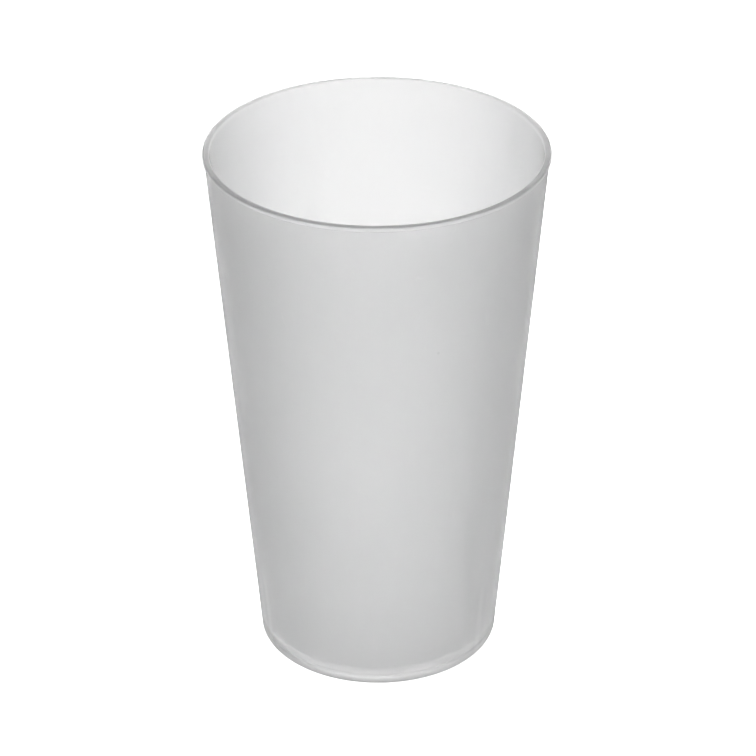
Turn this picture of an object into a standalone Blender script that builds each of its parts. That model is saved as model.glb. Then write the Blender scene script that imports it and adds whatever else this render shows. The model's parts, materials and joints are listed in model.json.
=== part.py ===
"""Reusable pint cup, moulded in one piece from frosted polypropylene.

The cup is turned about +Z and stands on z = 0, its origin at the centre of that circle.
Its straight wall ends in a small lip at the top. At the bottom it runs past the floor to
make the foot ring that the cup stands on. Three ribs inside the foot of the wall hold the
next cup of a stack clear of the wall. Every length is in metres.
"""

from math import hypot, pi, radians, sin, tan

import bmesh
import bpy
from mathutils import Vector

# Body
HEIGHT = 0.1458
RIM_RADIUS = 0.0450  # outside of the wall, carried on up to the rim
BASE_RADIUS = 0.0324  # outside of the wall, carried on down to the table
WALL = 0.0014  # measured square to the wall
FLOOR = 0.0018
FLOOR_CORNER = 0.0020  # inside, where the floor turns up into the wall

# Lip round the rim
LIP = 0.0003  # how far it stands out from the wall
LIP_HEIGHT = 0.0011
LIP_ROUNDING = 0.0002  # below the lip, where it steps back to the wall
RIM_ROUNDING = 0.0004

# Foot ring, and the recess inside it
FOOT_HEIGHT = 0.0026  # from the table to the underside of the floor
FOOT_CORNER = 0.0014
FOOT_INNER_RADIUS = 0.0300
FOOT_INNER_ROUNDING = 0.0004
FOOT_DRAFT = 0.0002  # how much the recess narrows towards the floor
RECESS_CORNER = 0.0008

# Mark of the moulding gate, in the middle of the recess
DIMPLE_RADIUS = 0.0050
DIMPLE_DEPTH = 0.0005
GATE_RADIUS = 0.0010
GATE_LENGTH = 0.0003  # shorter than the dimple is deep, so the cup never stands on it

# Stacking ribs
RIBS = 3
FIRST_RIB = radians(90)  # one rib at the back, the others at either side of the front
RIB_TOP = 0.0240  # where the foot of the next cup rests
RIB_INNER_RADIUS = 0.0300
RIB_WIDTH = 0.0020
RIB_DRAFT = 0.0002
RIB_ROUNDING = 0.0003

# Fineness of the mesh
SEGMENTS = 72
ARC_STEPS = 4
RIB_ROUNDING_STEPS = 2
SHARP_ANGLE = radians(40)
SAME_POINT = 1e-7

FLOOR_TOP = FOOT_HEIGHT + FLOOR


def clear_scene():
    for obj in list(bpy.data.objects):
        bpy.data.objects.remove(obj)


def outer_radius(height):
    return BASE_RADIUS + (RIM_RADIUS - BASE_RADIUS) * height / HEIGHT


def inner_radius(height):
    level_thickness = WALL * hypot(HEIGHT, RIM_RADIUS - BASE_RADIUS) / HEIGHT
    return outer_radius(height) - level_thickness


def frosted_polypropylene():
    material = bpy.data.materials.new("frosted_polypropylene")
    material.use_nodes = True
    shader = material.node_tree.nodes["Principled BSDF"]
    shader.inputs["Base Color"].default_value = (0.80, 0.80, 0.80, 1.0)
    shader.inputs["Metallic"].default_value = 0.0
    shader.inputs["Roughness"].default_value = 0.45
    return material


def cup_corners():
    """Half of the cup's section as (radius, height, rounding) corners.

    They run from the axis out over the floor, up the inside, over the lip, down the
    outside, round the foot ring and back to the axis under the floor.
    """
    lip_radius = RIM_RADIUS + LIP
    lip_bottom = HEIGHT - LIP_HEIGHT
    below_lip = lip_bottom - LIP
    dimple_top = FOOT_HEIGHT + DIMPLE_DEPTH
    gate_end = dimple_top - GATE_LENGTH
    return [
        (0, FLOOR_TOP, 0),
        (inner_radius(FLOOR_TOP), FLOOR_TOP, FLOOR_CORNER),
        (inner_radius(HEIGHT), HEIGHT, RIM_ROUNDING),
        (lip_radius, HEIGHT, RIM_ROUNDING),
        (lip_radius, lip_bottom, LIP_ROUNDING),
        (outer_radius(below_lip), below_lip, LIP_ROUNDING),
        (BASE_RADIUS, 0, FOOT_CORNER),
        (FOOT_INNER_RADIUS, 0, FOOT_INNER_ROUNDING),
        (FOOT_INNER_RADIUS - FOOT_DRAFT, FOOT_HEIGHT, RECESS_CORNER),
        (DIMPLE_RADIUS, FOOT_HEIGHT, 0),
        (DIMPLE_RADIUS - DIMPLE_DEPTH, dimple_top, 0),
        (GATE_RADIUS, dimple_top, 0),
        (GATE_RADIUS, gate_end, 0),
        (0, gate_end, 0),
    ]


def rounded(corners):
    """The points of an outline whose corners are given, each with its rounding radius."""
    points = []
    for index, (x, z, rounding) in enumerate(corners):
        corner = Vector((x, z))
        if not rounding:
            points.append(corner)
            continue
        back = (Vector(corners[index - 1][:2]) - corner).normalized()
        ahead = (Vector(corners[index + 1][:2]) - corner).normalized()
        half_angle = back.angle(ahead) / 2
        centre = corner + (back + ahead).normalized() * rounding / sin(half_angle)
        first = corner + back * rounding / tan(half_angle) - centre
        last = corner + ahead * rounding / tan(half_angle) - centre
        for step in range(ARC_STEPS + 1):
            spoke = first.lerp(last, step / ARC_STEPS).normalized()
            points.append(centre + spoke * rounding)
    return points


def turned_mesh(name, outline):
    """A closed body of revolution about Z. The outline starts and ends on the axis."""
    shape = bmesh.new()
    points = [shape.verts.new((x, 0, z)) for x, z in outline]
    edges = [shape.edges.new(pair) for pair in zip(points, points[1:])]
    bmesh.ops.spin(
        shape, geom=points + edges, axis=(0, 0, 1), cent=(0, 0, 0),
        angle=2 * pi, steps=SEGMENTS, use_merge=True,
    )
    bmesh.ops.remove_doubles(shape, verts=shape.verts[:], dist=SAME_POINT)
    bmesh.ops.recalc_face_normals(shape, faces=shape.faces[:])
    mesh = bpy.data.meshes.new(name)
    shape.to_mesh(mesh)
    shape.free()
    mesh.shade_smooth()
    mesh.set_sharp_from_angle(angle=SHARP_ANGLE)
    return mesh


def rib_mesh():
    """A rib along +X, with its back in the wall and its lower end in the floor."""
    foot = FLOOR_TOP - FLOOR / 2
    buried = WALL / 2
    outline = [
        (RIB_INNER_RADIUS - RIB_DRAFT, foot),
        (inner_radius(foot) + buried, foot),
        (inner_radius(RIB_TOP) + buried, RIB_TOP),
        (RIB_INNER_RADIUS, RIB_TOP),
    ]
    shape = bmesh.new()
    side = shape.faces.new([shape.verts.new((x, -RIB_WIDTH / 2, z)) for x, z in outline])
    swept = bmesh.ops.extrude_face_region(shape, geom=[side])["geom"]
    far_side = [item for item in swept if isinstance(item, bmesh.types.BMVert)]
    bmesh.ops.translate(shape, verts=far_side, vec=(0, RIB_WIDTH, 0))
    bmesh.ops.recalc_face_normals(shape, faces=shape.faces[:])
    mesh = bpy.data.meshes.new("stacking_rib")
    shape.to_mesh(mesh)
    shape.free()
    return mesh


def add_ribs(cup):
    """Unites the ribs with the cup. They belong to the same moulding."""
    mesh = rib_mesh()
    for index in range(RIBS):
        rib = bpy.data.objects.new(f"stacking_rib_{index + 1}", mesh)
        rib.rotation_euler.z = FIRST_RIB + index * 2 * pi / RIBS
        rib.parent = cup
        rib.hide_render = True
        rib.display_type = "WIRE"
        bpy.context.collection.objects.link(rib)
        rounding = rib.modifiers.new("rounding", "BEVEL")
        rounding.width = RIB_ROUNDING
        rounding.segments = RIB_ROUNDING_STEPS
        union = cup.modifiers.new(f"rib_{index + 1}", "BOOLEAN")
        union.operation = "UNION"
        union.solver = "EXACT"
        union.object = rib


def build_cup_body():
    mesh = turned_mesh("cup_body", rounded(cup_corners()))
    mesh.materials.append(frosted_polypropylene())
    cup = bpy.data.objects.new("cup_body", mesh)
    bpy.context.collection.objects.link(cup)
    add_ribs(cup)


clear_scene()
build_cup_body()
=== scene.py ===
"""The looks of a reusable pint cup in frosted polypropylene.

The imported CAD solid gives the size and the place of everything. A finer turned body stands
for it here, with the same outline, softly edged ribs and rim, and a frosted, translucent
material. Lengths are in metres unless a comment says otherwise, and heights are above the table.
"""

import json
from math import cos, exp, hypot, pi, radians, sin, tan

import bpy
import numpy as np
from mathutils import Matrix, Vector


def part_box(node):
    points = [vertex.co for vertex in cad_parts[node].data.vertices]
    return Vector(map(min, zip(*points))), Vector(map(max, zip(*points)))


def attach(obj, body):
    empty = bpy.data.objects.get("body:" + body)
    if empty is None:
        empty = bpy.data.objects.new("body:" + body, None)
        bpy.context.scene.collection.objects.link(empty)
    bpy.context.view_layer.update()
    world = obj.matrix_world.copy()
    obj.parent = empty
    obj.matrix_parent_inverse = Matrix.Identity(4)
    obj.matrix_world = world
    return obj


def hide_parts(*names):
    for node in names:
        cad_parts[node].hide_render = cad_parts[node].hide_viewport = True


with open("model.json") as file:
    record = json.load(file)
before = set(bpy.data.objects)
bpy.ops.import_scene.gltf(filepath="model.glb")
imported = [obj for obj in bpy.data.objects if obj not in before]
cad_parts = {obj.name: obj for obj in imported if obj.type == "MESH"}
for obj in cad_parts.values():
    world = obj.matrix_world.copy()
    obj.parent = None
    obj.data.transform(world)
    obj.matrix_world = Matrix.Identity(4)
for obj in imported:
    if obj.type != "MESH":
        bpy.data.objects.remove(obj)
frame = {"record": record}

CAD_NODE = "cup_body"
BODY = "root"

# The cup's section, as in the CAD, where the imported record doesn't give it
RIM_RADIUS = 0.0450  # outside of the wall, carried on up to the rim
BASE_RADIUS = 0.0324  # outside of the wall, carried on down to the table
WALL = 0.0014
RIM_ROUNDING = 0.0004
LIP = 0.0003
LIP_HEIGHT = 0.0011
LIP_ROUNDING = 0.0002
FLOOR_THICKNESS = 0.0018
FLOOR_CORNER = 0.0020
FOOT_CORNER = 0.0014
FOOT_INNER_RADIUS = 0.0300
FOOT_INNER_ROUNDING = 0.0004
FOOT_DRAFT = 0.0002
RECESS_CORNER = 0.0008
DIMPLE_RADIUS = 0.0050
DIMPLE_DEPTH = 0.0005
GATE_RADIUS = 0.0010
GATE_LENGTH = 0.0003

# Fine line where the parts of the mould meet
GROOVE_HEIGHT = 0.0034
GROOVE_WIDTH = 0.0005
GROOVE_DEPTH = 0.00008

# Stacking ribs
RIBS = 3
FIRST_RIB = radians(90)
RIB_FACE_RADIUS = 0.0300
RIB_DRAFT = 0.0002
RIB_HALF_WIDTH = 0.0010
RIB_SOFTNESS = 0.0002  # half of the width over which an edge of a rib rolls off
# width of the painted light and shade where a rib shows through the wall
PAINTED_RIB_SHADING_WIDTH = 0.0008
PAINTED_RIB_SHADING_FADE = 0.0040  # how far below its top the painted light and shade of a rib through the wall shows in full

# Fineness of the mesh
COLUMNS = 240
ARC_STEPS = 10
FLOOR_ROWS = 14
WALL_ROWS = 48
GROOVE_ROWS = 13
GROOVE_REACH = 0.6  # how far its rows run from the middle of the groove, in widths of it
RECESS_ROWS = 12
RIB_TOP_ROWS = 21
RIB_EDGE_COLUMNS = 15
RIB_EDGE_REACH = 2.5 * RIB_SOFTNESS
RIB_TOP_CLEARANCE = 4 * RIB_SOFTNESS
RIB_CLEARANCE = 1.2  # plain columns stay this far from a rib, in widths of its own columns
SHARP_ANGLE = radians(50)
TINY = 1e-6

# Plastic
PLASTIC = {
    "IOR": 1.49,
    "Transmission Weight": 0.8,
    "Subsurface Weight": 1.0,
    "Subsurface Radius": (1.0, 1.0, 1.0),
    "Subsurface Scale": 0.003,
}
WHITENESS = 0.90
ROUGHNESS = 0.80
RIM_POLISH = 0.45  # how much smoother handling has left the rim
RIM_POLISH_HEIGHT = 0.0014

# Unevenness of the plastic: the size of its waves along x, y and z, and their strength
CLOUDS = ((0.018, 0.018, 0.022), 0.012)
BLOTCHES = ((0.0035, 0.0035, 0.0045), 0.0084)
FLOW_STREAKS = ((0.0025, 0.0025, 0.060), 0.0096)
SATIN = ((0.006, 0.006, 0.020), 0.04)
FROST_GRAIN = ((0.00035, 0.00035, 0.00035), 1.0)
FINE_DETAIL = 3.0  # octaves of noise in the clouds and the grain
GRAIN_HARSHNESS = 0.6
FROST_DEPTH = 0.00002
FROST_STRENGTH = 0.6

# Painted light and painted shade low on the wall, and on the ribs, as shares of white
LOW_PAINTED_LIGHT = 0.065  # painted light: how much lighter the wall is painted towards the floor
LOW_PAINTED_LIGHT_HEIGHT = 0.040
JOINT_TOP = (0.0066, 0.0046)  # painted shade where the floor joins the wall, from here down
JOINT_PAINTED_SHADE = 0.25
JOINT_BOTTOM = (0.0022, 0.0032)
FOOT_PAINTED_LIGHT = 0.11  # painted light: how much of that painted shade the hollow foot loses again
LINE_WIDTH = 0.0012  # of the painted shade, a soft dark line to either side of the groove
GROOVE_LINE_PAINTED_SHADE = 0.06
# painted shade in the groove
GROOVE_PAINTED_SHADE = 0.06
# painted contact shadow along the bottom edge, and how high it reaches
FOOT_PAINTED_SHADOW = 0.7
FOOT_PAINTED_SHADOW_HEIGHT = 0.0009
# painted light and shade where the ribs show through the wall
PAINTED_RIB_SHADING_STRENGTH = 0.06

# Light scuffs: angle in degrees and height of one end, of the other end, half width, strength
RUB_MARKS = [
    (-59.5, 0.1440, -61.2, 0.1385, 0.0008, 0.7),
    (-122.0, 0.1200, -120.8, 0.1148, 0.0007, 0.7),
    (-120.8, 0.1148, -118.9, 0.1120, 0.0006, 0.6),
    (-72.4, 0.1305, -70.6, 0.1300, 0.0010, 1.0),
    (-44.4, 0.1155, -43.6, 0.1105, 0.0009, 1.0),
]
RUB_WHITENESS = 0.05
RUB_ROUGHNESS = 0.08
RUB_WAVES = (0.004, 0.004, 0.004)
RUB_WAVE_DEPTH = 0.003

# Small scuffs all round: they lie where smooth noise is high
HANDLING = ((0.0045, 0.0045, 0.0030), 1.0)
SCUFF_START = 0.36
SCUFF_FULL = 0.55
SCUFFS = 0.35

# Dark specks in the plastic: angle in degrees, height, radius, depth
SPECKS = [
    (-63.7, 0.1066, 0.0005, 0.12),
]

# Camera
CAMERA_AZIMUTH = radians(4.4)
CAMERA_ELEVATION = radians(29.73)
CAMERA_DISTANCE = 0.923
CAMERA_ROLL = radians(-0.19)
LENS = 162.8  # millimetres, as the sensor is
SENSOR = 36.0
SHIFT_X = 0.0004  # shares of the sensor
SHIFT_Y = 0.0200
NEAREST = 0.05  # the camera sees nothing nearer than this or beyond the next
FURTHEST = 100.0

# Soft lights: name, azimuth from the camera's and elevation in degrees, size, power in watts
LIGHT_DISTANCE = 1.6
LIGHTS = [
    ("front_top", 0, 62, 0.8, 5.0),
    ("front_low", 25, 10, 0.5, 0.6),
    ("back_low", 180, 10, 0.5, 2.2),
]

# Pale haze round the horizon, full up to one elevation and gone at the other
HAZE_BRIGHT = radians(7)
HAZE_DARK = radians(20)
HAZE_STRENGTH = 0.8

# Floor
FLOOR_REACH = 12.0
FLOOR_WHITENESS = 0.9
FLOOR_ROUGHNESS = 0.8
FLOOR_GLOW = 1.15
FAR_GLOW = 0.60  # far away, as a share of the glow nearby, so that the floor meets the haze unseen
FAR_START = 0.8
FAR_END = 4.0
SHADED_UNDER_GLOW = 0.90  # below the cup, as a share of the open floor, dimmed there as painted shade
CONTACT_SHADOW_INSIDE = (0.0290, 0.0300)  # painted contact shadow: where the glow fades out towards the ring that the cup stands on
CONTACT_SHADOW_OUTSIDE = (0.0304, 0.0312)  # where it comes back outside that ring, the outer edge of the painted contact shadow


def mount_height(name):
    for mount in frame["record"]["mounts"]:
        if mount["name"] == name:
            return mount["pos_m"][2]
    raise ValueError(name)


HEIGHT = mount_height("rim")
FLOOR_TOP = mount_height("inside_floor")
RIB_TOP = mount_height("stack_rest")
UNDERSIDE = FLOOR_TOP - FLOOR_THICKNESS


def outer_radius(height):
    return BASE_RADIUS + (RIM_RADIUS - BASE_RADIUS) * height / HEIGHT


def inner_radius(height):
    return outer_radius(height) - WALL * hypot(HEIGHT, RIM_RADIUS - BASE_RADIUS) / HEIGHT


def smooth_step(value):
    value = np.clip(value, 0.0, 1.0)
    return value * value * (3 - 2 * value)


def rounded_corner(before, corner, after, rounding):
    """Points along the arc that takes the place of a corner between two other corners."""
    before, corner, after = Vector(before), Vector(corner), Vector(after)
    back = (before - corner).normalized()
    ahead = (after - corner).normalized()
    half_angle = back.angle(ahead) / 2
    centre = corner + (back + ahead).normalized() * rounding / sin(half_angle)
    first = corner + back * rounding / tan(half_angle) - centre
    last = corner + ahead * rounding / tan(half_angle) - centre
    turn = pi - 2 * half_angle
    points = []
    for step in range(ARC_STEPS + 1):
        share = step / ARC_STEPS
        weight_first = sin((1 - share) * turn) / sin(turn)
        weight_last = sin(share * turn) / sin(turn)
        points.append(centre + first * weight_first + last * weight_last)
    return points


def between(start, end, special, clearance):
    """Even heights from start to end, both left out, with none within clearance of special."""
    heights = np.linspace(start, end, WALL_ROWS + 2)[1:-1]
    return [height for height in heights if abs(height - special) > clearance]


def inside_rows():
    """(radius, height) from the axis over the floor and up the inside to the top of the rim."""
    foot = (inner_radius(FLOOR_TOP), FLOOR_TOP)
    rim = (inner_radius(HEIGHT), HEIGHT)
    floor_turn = rounded_corner((0.0, FLOOR_TOP), foot, rim, FLOOR_CORNER)
    rim_turn = rounded_corner(foot, rim, (RIM_RADIUS + LIP, HEIGHT), RIM_ROUNDING)
    rib_rows = RIB_TOP + np.linspace(-RIB_EDGE_REACH, RIB_EDGE_REACH, RIB_TOP_ROWS)
    even = between(floor_turn[-1].y, rim_turn[0].y, RIB_TOP, RIB_TOP_CLEARANCE)
    rows = [(r, FLOOR_TOP) for r in np.linspace(0.0, foot[0] - 2 * FLOOR_CORNER, FLOOR_ROWS)]
    rows += floor_turn
    rows += [(inner_radius(z), z) for z in sorted([*even, *rib_rows])]
    return rows + rim_turn


def outside_rows():
    """(radius, height) from the top of the rim down the outside, round the foot and under it."""
    inner_rim = (inner_radius(HEIGHT), HEIGHT)
    rim = (RIM_RADIUS + LIP, HEIGHT)
    lip_bottom = (RIM_RADIUS + LIP, HEIGHT - LIP_HEIGHT)
    below_lip = (outer_radius(HEIGHT - LIP_HEIGHT - LIP), HEIGHT - LIP_HEIGHT - LIP)
    foot = (BASE_RADIUS, 0.0)
    foot_inside = (FOOT_INNER_RADIUS, 0.0)
    recess = (FOOT_INNER_RADIUS - FOOT_DRAFT, UNDERSIDE)
    rows = rounded_corner(inner_rim, rim, lip_bottom, RIM_ROUNDING)
    rows += rounded_corner(rim, lip_bottom, below_lip, LIP_ROUNDING)
    rows += rounded_corner(lip_bottom, below_lip, foot, LIP_ROUNDING)
    foot_turn = rounded_corner(below_lip, foot, foot_inside, FOOT_CORNER)
    groove = GROOVE_HEIGHT + GROOVE_WIDTH * np.linspace(-GROOVE_REACH, GROOVE_REACH, GROOVE_ROWS)
    even = between(rows[-1].y, foot_turn[0].y, GROOVE_HEIGHT, GROOVE_WIDTH)
    for z in sorted([*even, *groove], reverse=True):
        across = abs(z - GROOVE_HEIGHT) / (GROOVE_WIDTH / 2)
        rows.append((outer_radius(z) - GROOVE_DEPTH * smooth_step(1 - across), z))
    rows += foot_turn
    rows += rounded_corner(foot, foot_inside, recess, FOOT_INNER_ROUNDING)
    return rows + rounded_corner(foot_inside, recess, (DIMPLE_RADIUS, UNDERSIDE), RECESS_CORNER)


def underside_rows(start):
    """(radius, height) under the floor, from the radius start to the gate mark on the axis."""
    dimple_top = UNDERSIDE + DIMPLE_DEPTH
    gate_end = dimple_top - GATE_LENGTH
    rows = [(r, UNDERSIDE) for r in np.linspace(start, DIMPLE_RADIUS, RECESS_ROWS)[1:]]
    rows += [(DIMPLE_RADIUS - DIMPLE_DEPTH, dimple_top), (GATE_RADIUS, dimple_top)]
    return rows + [(GATE_RADIUS, gate_end), (0.0, gate_end)]


def rib_angles():
    return [FIRST_RIB + index * 2 * pi / RIBS for index in range(RIBS)]


def from_rib(angle):
    """How far round from the middle of the nearest rib, as an angle."""
    return min(abs((angle - rib + pi) % (2 * pi) - pi) for rib in rib_angles())


def column_angles():
    edge = RIB_HALF_WIDTH + np.linspace(-RIB_EDGE_REACH, RIB_EDGE_REACH, RIB_EDGE_COLUMNS)
    middle = [0.0, RIB_HALF_WIDTH / 3, -RIB_HALF_WIDTH / 3]
    fine = np.concatenate([-edge, edge, middle]) / RIB_FACE_RADIUS
    reach = np.abs(fine).max() * RIB_CLEARANCE
    plain = np.arange(COLUMNS) * 2 * pi / COLUMNS
    angles = [angle for angle in plain if from_rib(angle) > reach]
    for rib in rib_angles():
        angles += list((rib + fine) % (2 * pi))
    return np.array(sorted(angles))


def rib_share(angle, height):
    """1 on a rib's face, 0 on the plain wall, with a soft edge between them."""
    away = from_rib(angle) * RIB_FACE_RADIUS
    beside = smooth_step(0.5 - (away - RIB_HALF_WIDTH) / (2 * RIB_SOFTNESS))
    below = smooth_step(0.5 - (height - RIB_TOP) / (2 * RIB_SOFTNESS))
    return beside * below


def rib_mark(angle, height):
    """Painted light and shade where a rib shows through the wall: a light line over its middle
    between two darker ones.
    """
    away = from_rib(angle) * RIB_FACE_RADIUS
    middle = exp(-((away / PAINTED_RIB_SHADING_WIDTH) ** 2))
    beside = exp(-(((away - RIB_HALF_WIDTH - PAINTED_RIB_SHADING_WIDTH) / PAINTED_RIB_SHADING_WIDTH) ** 2))
    return (middle - beside) * smooth_step((RIB_TOP - height) / PAINTED_RIB_SHADING_FADE)


def ring_faces(rings):
    """Faces between rings of point numbers. A ring on the axis has only one point."""
    faces = []
    for lower, upper in zip(rings, rings[1:]):
        count = max(len(lower), len(upper))
        for index in range(count):
            after = (index + 1) % count
            if len(lower) == 1:
                faces.append((lower[0], upper[index], upper[after]))
            elif len(upper) == 1:
                faces.append((lower[index], upper[0], lower[after]))
            else:
                faces.append((lower[index], upper[index], upper[after], lower[after]))
    return faces


def build_cup():
    inside = inside_rows()
    outside = outside_rows()
    outside += underside_rows(outside[-1].x)
    angles = column_angles()
    points = []
    painted_rib_shadings = []
    rings = []
    for number, (radius, height) in enumerate(inside + outside):
        if radius < TINY:
            rings.append([len(points)])
            points.append((0.0, 0.0, height))
            painted_rib_shadings.append(0.0)
            continue
        rings.append(list(range(len(points), len(points) + len(angles))))
        face = RIB_FACE_RADIUS - RIB_DRAFT * (1 - height / RIB_TOP)
        at_ribs = FLOOR_TOP + TINY < height < RIB_TOP + RIB_TOP_CLEARANCE
        ribbed = number < len(inside) and at_ribs and face < radius
        for angle in angles:
            r = radius + (face - radius) * rib_share(angle, height) if ribbed else radius
            points.append((r * cos(angle), r * sin(angle), height))
            painted_rib_shadings.append(rib_mark(angle, height) if radius > RIB_FACE_RADIUS else 0.0)
    mesh = bpy.data.meshes.new("frosted_cup")
    mesh.from_pydata(points, [], ring_faces(rings))
    # the painted light and shade of the ribs goes on the mesh
    mark = mesh.attributes.new("rib_mark", "FLOAT", "POINT")
    mark.data.foreach_set("value", np.array(painted_rib_shadings, np.float32))
    mesh.validate()
    mesh.shade_smooth()
    mesh.set_sharp_from_angle(angle=SHARP_ANGLE)
    cup = bpy.data.objects.new("frosted_cup", mesh)
    bpy.context.scene.collection.objects.link(cup)
    return cup


class Painter:
    """Adds shader nodes to one material, so that each of them is a line of code."""

    def __init__(self, material):
        self.tree = material.node_tree
        self.shader = self.tree.nodes["Principled BSDF"]
        self.coordinates = self.tree.nodes.new("ShaderNodeTexCoord").outputs["Object"]

    def node(self, kind, sockets, **settings):
        made = self.tree.nodes.new("ShaderNode" + kind)
        for name, value in settings.items():
            setattr(made, name, value)
        for key, value in sockets.items():
            if isinstance(value, bpy.types.NodeSocket):
                self.tree.links.new(value, made.inputs[key])
            else:
                made.inputs[key].default_value = value
        return made

    def drive(self, name, value):
        """Links a value to one of the shader's own sockets."""
        self.tree.links.new(value, self.shader.inputs[name])

    def math(self, operation, *values, clamp=False):
        sockets = dict(enumerate(values))
        return self.node("Math", sockets, operation=operation, use_clamp=clamp).outputs[0]

    def add(self, *values):
        total = values[0]
        for value in values[1:]:
            total = self.math("ADD", total, value)
        return total

    def vector(self, operation, first, second):
        return self.node("VectorMath", {0: first, 1: second}, operation=operation).outputs[0]

    def scaled(self, vector, factor):
        sockets = {0: vector, "Scale": factor}
        return self.node("VectorMath", sockets, operation="SCALE").outputs[0]

    def measure(self, operation, first, second):
        """DISTANCE or DOT_PRODUCT of two vectors."""
        sockets = {0: first, 1: second}
        return self.node("VectorMath", sockets, operation=operation).outputs["Value"]

    def stretched(self, x, y, z):
        """The object's coordinates, in lengths of x, y and z metres."""
        return self.vector("MULTIPLY", self.coordinates, (1 / x, 1 / y, 1 / z))

    def noise(self, waves, detail=2.0, roughness=0.5):
        """Smooth noise from -strength to strength. waves is a size for each axis, and a strength."""
        size, strength = waves
        sockets = {"Scale": 1.0, "Detail": detail, "Roughness": roughness}
        sockets["Vector"] = self.stretched(*size)
        plain = self.node("TexNoise", sockets).outputs["Fac"]
        return self.math("MULTIPLY", self.math("SUBTRACT", plain, 0.5), 2 * strength)

    def ramp(self, value, start, end, low=0.0, high=1.0):
        """low at start and before it, high at end and after it, and smooth between them."""
        sockets = {"Value": value, "From Min": start, "From Max": end, "To Min": low, "To Max": high}
        return self.node("MapRange", sockets, interpolation_type="SMOOTHSTEP").outputs["Result"]

    def apart(self, first, second):
        return self.math("ABSOLUTE", self.math("SUBTRACT", first, second))


def on_wall(degrees, height):
    """A place on the outside of the wall."""
    angle = radians(degrees)
    radius = outer_radius(height)
    return Vector((radius * cos(angle), radius * sin(angle), height))


def wavy_coordinates(paint):
    sockets = {"Vector": paint.stretched(*RUB_WAVES), "Scale": 1.0}
    waves = paint.node("TexNoise", sockets).outputs["Color"]
    waves = paint.vector("SUBTRACT", waves, (0.5, 0.5, 0.5))
    return paint.vector("ADD", paint.coordinates, paint.scaled(waves, RUB_WAVE_DEPTH))


def rub_marks(paint):
    """1 in the light scuffs that handling has left on the wall, 0 beside them."""
    wavy = wavy_coordinates(paint)
    total = paint.ramp(paint.noise(HANDLING), SCUFF_START, SCUFF_FULL, 0.0, SCUFFS)
    for start_angle, start_height, end_angle, end_height, width, strength in RUB_MARKS:
        start = on_wall(start_angle, start_height)
        run = on_wall(end_angle, end_height) - start
        from_start = paint.vector("SUBTRACT", wavy, start)
        along = paint.measure("DOT_PRODUCT", from_start, run)
        share = paint.math("MULTIPLY", along, 1 / run.length_squared, clamp=True)
        away = paint.measure("DISTANCE", from_start, paint.scaled(run, share))
        total = paint.add(total, paint.ramp(away, width, 0.0, 0.0, strength))
    return total


def painted_low_shade(paint, height):
    """Painted shade: how much darker the wall is painted where it meets the floor and the table, in
    and beside the groove, less some painted light on the hollow foot.
    """
    from_groove = paint.apart(height, GROOVE_HEIGHT)
    # painted shade in the groove and a soft painted dark line beside it
    groove = paint.ramp(from_groove, GROOVE_WIDTH, 0.0, 0.0, GROOVE_PAINTED_SHADE)
    line = paint.ramp(from_groove, LINE_WIDTH, 0.0, 0.0, GROOVE_LINE_PAINTED_SHADE)
    # painted shade where the floor joins the wall
    painted_joint = paint.ramp(height, *JOINT_TOP, 0.0, JOINT_PAINTED_SHADE)
    # painted light on the hollow foot, taken off that shade
    foot = paint.ramp(height, *JOINT_BOTTOM, -FOOT_PAINTED_LIGHT, 0.0)
    # painted contact shadow along the bottom edge
    contact_shadow = paint.ramp(height, FOOT_PAINTED_SHADOW_HEIGHT, 0.0, 0.0, FOOT_PAINTED_SHADOW)
    return paint.add(groove, line, painted_joint, foot, contact_shadow)


# The plastic's own tone, with painted light and shade added low on the wall and over the ribs
def whiteness_and_painted_shading(paint, height, rubs):
    clouds = paint.noise(CLOUDS, detail=FINE_DETAIL)
    rub_light = paint.math("MULTIPLY", rubs, RUB_WHITENESS)
    # painted light and shade of the ribs seen through the wall
    mark = paint.node("Attribute", {}, attribute_name="rib_mark").outputs["Fac"]
    painted_rib_shading_share = paint.math("MULTIPLY", mark, PAINTED_RIB_SHADING_STRENGTH)
    # painted light: the wall painted lighter towards the floor
    low_painted_light = paint.ramp(height, LOW_PAINTED_LIGHT_HEIGHT, FLOOR_TOP, 0.0, LOW_PAINTED_LIGHT)
    white = paint.add(WHITENESS, clouds, paint.noise(BLOTCHES), paint.noise(FLOW_STREAKS))
    white = paint.add(white, rub_light, painted_rib_shading_share, low_painted_light)
    # painted shade low on the wall
    white = paint.math("SUBTRACT", white, painted_low_shade(paint, height))
    for degrees, speck_height, radius, depth in SPECKS:
        away = paint.measure("DISTANCE", paint.coordinates, on_wall(degrees, speck_height))
        speck = paint.ramp(away, radius / 2, radius, 1.0 - depth, 1.0)
        white = paint.math("MULTIPLY", white, speck)
    return white


def roughness(paint, height, rubs):
    polish_start = HEIGHT - RIM_POLISH_HEIGHT
    polish = paint.ramp(height, polish_start, HEIGHT - RIM_ROUNDING, 0.0, RIM_POLISH)
    rough = paint.add(ROUGHNESS, paint.noise(SATIN), paint.math("MULTIPLY", rubs, RUB_ROUGHNESS))
    return paint.math("SUBTRACT", rough, polish)


def frosted_polypropylene():
    """Milky plastic that passes most of the light and scatters all of it."""
    material = bpy.data.materials.new("frosted_polypropylene")
    material.use_nodes = True
    paint = Painter(material)
    for name, value in PLASTIC.items():
        paint.shader.inputs[name].default_value = value
    height = paint.node("SeparateXYZ", {0: paint.coordinates}).outputs["Z"]
    rubs = rub_marks(paint)
    paint.drive("Base Color", whiteness_and_painted_shading(paint, height, rubs))
    paint.drive("Roughness", roughness(paint, height, rubs))
    grain = paint.noise(FROST_GRAIN, detail=FINE_DETAIL, roughness=GRAIN_HARSHNESS)
    sockets = {"Height": grain, "Distance": FROST_DEPTH, "Strength": FROST_STRENGTH}
    paint.drive("Normal", paint.node("Bump", sockets).outputs["Normal"])
    return material


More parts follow.
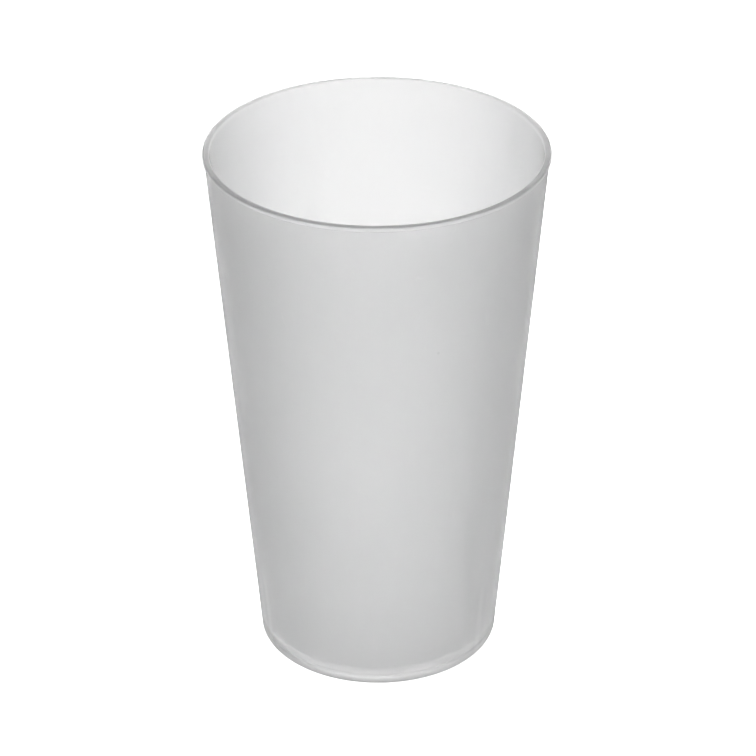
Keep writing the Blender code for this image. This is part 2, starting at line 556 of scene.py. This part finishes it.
def around(azimuth, elevation):
    """A direction, as an azimuth from the front of the cup and an elevation."""
    level = cos(elevation)
    return Vector((sin(azimuth) * level, -cos(azimuth) * level, sin(elevation)))


def looking_back(direction):
    """The turn of a camera or a light that looks against a direction."""
    return (-direction).to_track_quat("-Z", "Y").to_matrix().to_4x4()


def add_camera():
    low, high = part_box(CAD_NODE)
    back = around(CAMERA_AZIMUTH, CAMERA_ELEVATION)
    data = bpy.data.cameras.new("camera")
    data.sensor_width = SENSOR
    data.lens = LENS
    data.shift_x = SHIFT_X
    data.shift_y = SHIFT_Y
    data.clip_start = NEAREST
    data.clip_end = FURTHEST
    camera = bpy.data.objects.new("camera", data)
    bpy.context.scene.collection.objects.link(camera)
    place = Matrix.Translation((low + high) / 2 + back * CAMERA_DISTANCE)
    camera.matrix_world = place @ looking_back(back) @ Matrix.Rotation(CAMERA_ROLL, 4, "Z")
    bpy.context.scene.camera = camera


def add_lights():
    middle = Vector((0.0, 0.0, HEIGHT / 2))
    for name, azimuth, elevation, size, power in LIGHTS:
        direction = around(CAMERA_AZIMUTH + radians(azimuth), radians(elevation))
        data = bpy.data.lights.new(name, "AREA")
        data.size = size
        data.energy = power
        light = bpy.data.objects.new(name, data)
        bpy.context.scene.collection.objects.link(light)
        place = Matrix.Translation(middle + direction * LIGHT_DISTANCE)
        light.matrix_world = place @ looking_back(direction)


def add_haze():
    world = bpy.data.worlds.new("studio")
    bpy.context.scene.world = world
    world.use_nodes = True
    nodes = world.node_tree.nodes
    links = world.node_tree.links
    direction = nodes.new("ShaderNodeTexCoord").outputs["Generated"]
    split = nodes.new("ShaderNodeSeparateXYZ")
    fade = nodes.new("ShaderNodeMapRange")
    fade.interpolation_type = "SMOOTHSTEP"
    fade.inputs["From Min"].default_value = sin(HAZE_BRIGHT)
    fade.inputs["From Max"].default_value = sin(HAZE_DARK)
    fade.inputs["To Min"].default_value = 1.0
    fade.inputs["To Max"].default_value = 0.0
    background = nodes["Background"]
    background.inputs["Strength"].default_value = HAZE_STRENGTH
    links.new(direction, split.inputs[0])
    links.new(split.outputs["Z"], fade.inputs["Value"])
    links.new(fade.outputs["Result"], background.inputs["Color"])


def glowing_floor():
    material = bpy.data.materials.new("floor")
    material.use_nodes = True
    paint = Painter(material)
    paint.shader.inputs["Base Color"].default_value = (*[FLOOR_WHITENESS] * 3, 1.0)
    paint.shader.inputs["Roughness"].default_value = FLOOR_ROUGHNESS
    paint.shader.inputs["Emission Strength"].default_value = FLOOR_GLOW
    radius = paint.measure("DISTANCE", paint.coordinates, (0.0, 0.0, 0.0))
    # painted shadow: the glow dims under the cup and goes out round the ring it stands on
    under = paint.ramp(radius, *CONTACT_SHADOW_INSIDE, SHADED_UNDER_GLOW, 0.0)
    far = paint.ramp(radius, FAR_START, FAR_END, 1.0, FAR_GLOW)
    around_cup = paint.math("MULTIPLY", far, paint.ramp(radius, *CONTACT_SHADOW_OUTSIDE))
    paint.drive("Emission Color", paint.add(under, around_cup))
    return material


def add_floor():
    mesh = bpy.data.meshes.new("floor")
    signs = [(-1, -1), (1, -1), (1, 1), (-1, 1)]
    corners = [(x * FLOOR_REACH, y * FLOOR_REACH, 0.0) for x, y in signs]
    mesh.from_pydata(corners, [], [(0, 1, 2, 3)])
    mesh.materials.append(glowing_floor())
    floor = bpy.data.objects.new("floor", mesh)
    bpy.context.scene.collection.objects.link(floor)


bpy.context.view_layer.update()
bpy.context.scene.view_settings.view_transform = "Standard"
cup = build_cup()
cup.data.materials.append(frosted_polypropylene())
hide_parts(CAD_NODE)
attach(cup, BODY)
add_floor()
add_lights()
add_haze()
add_camera()
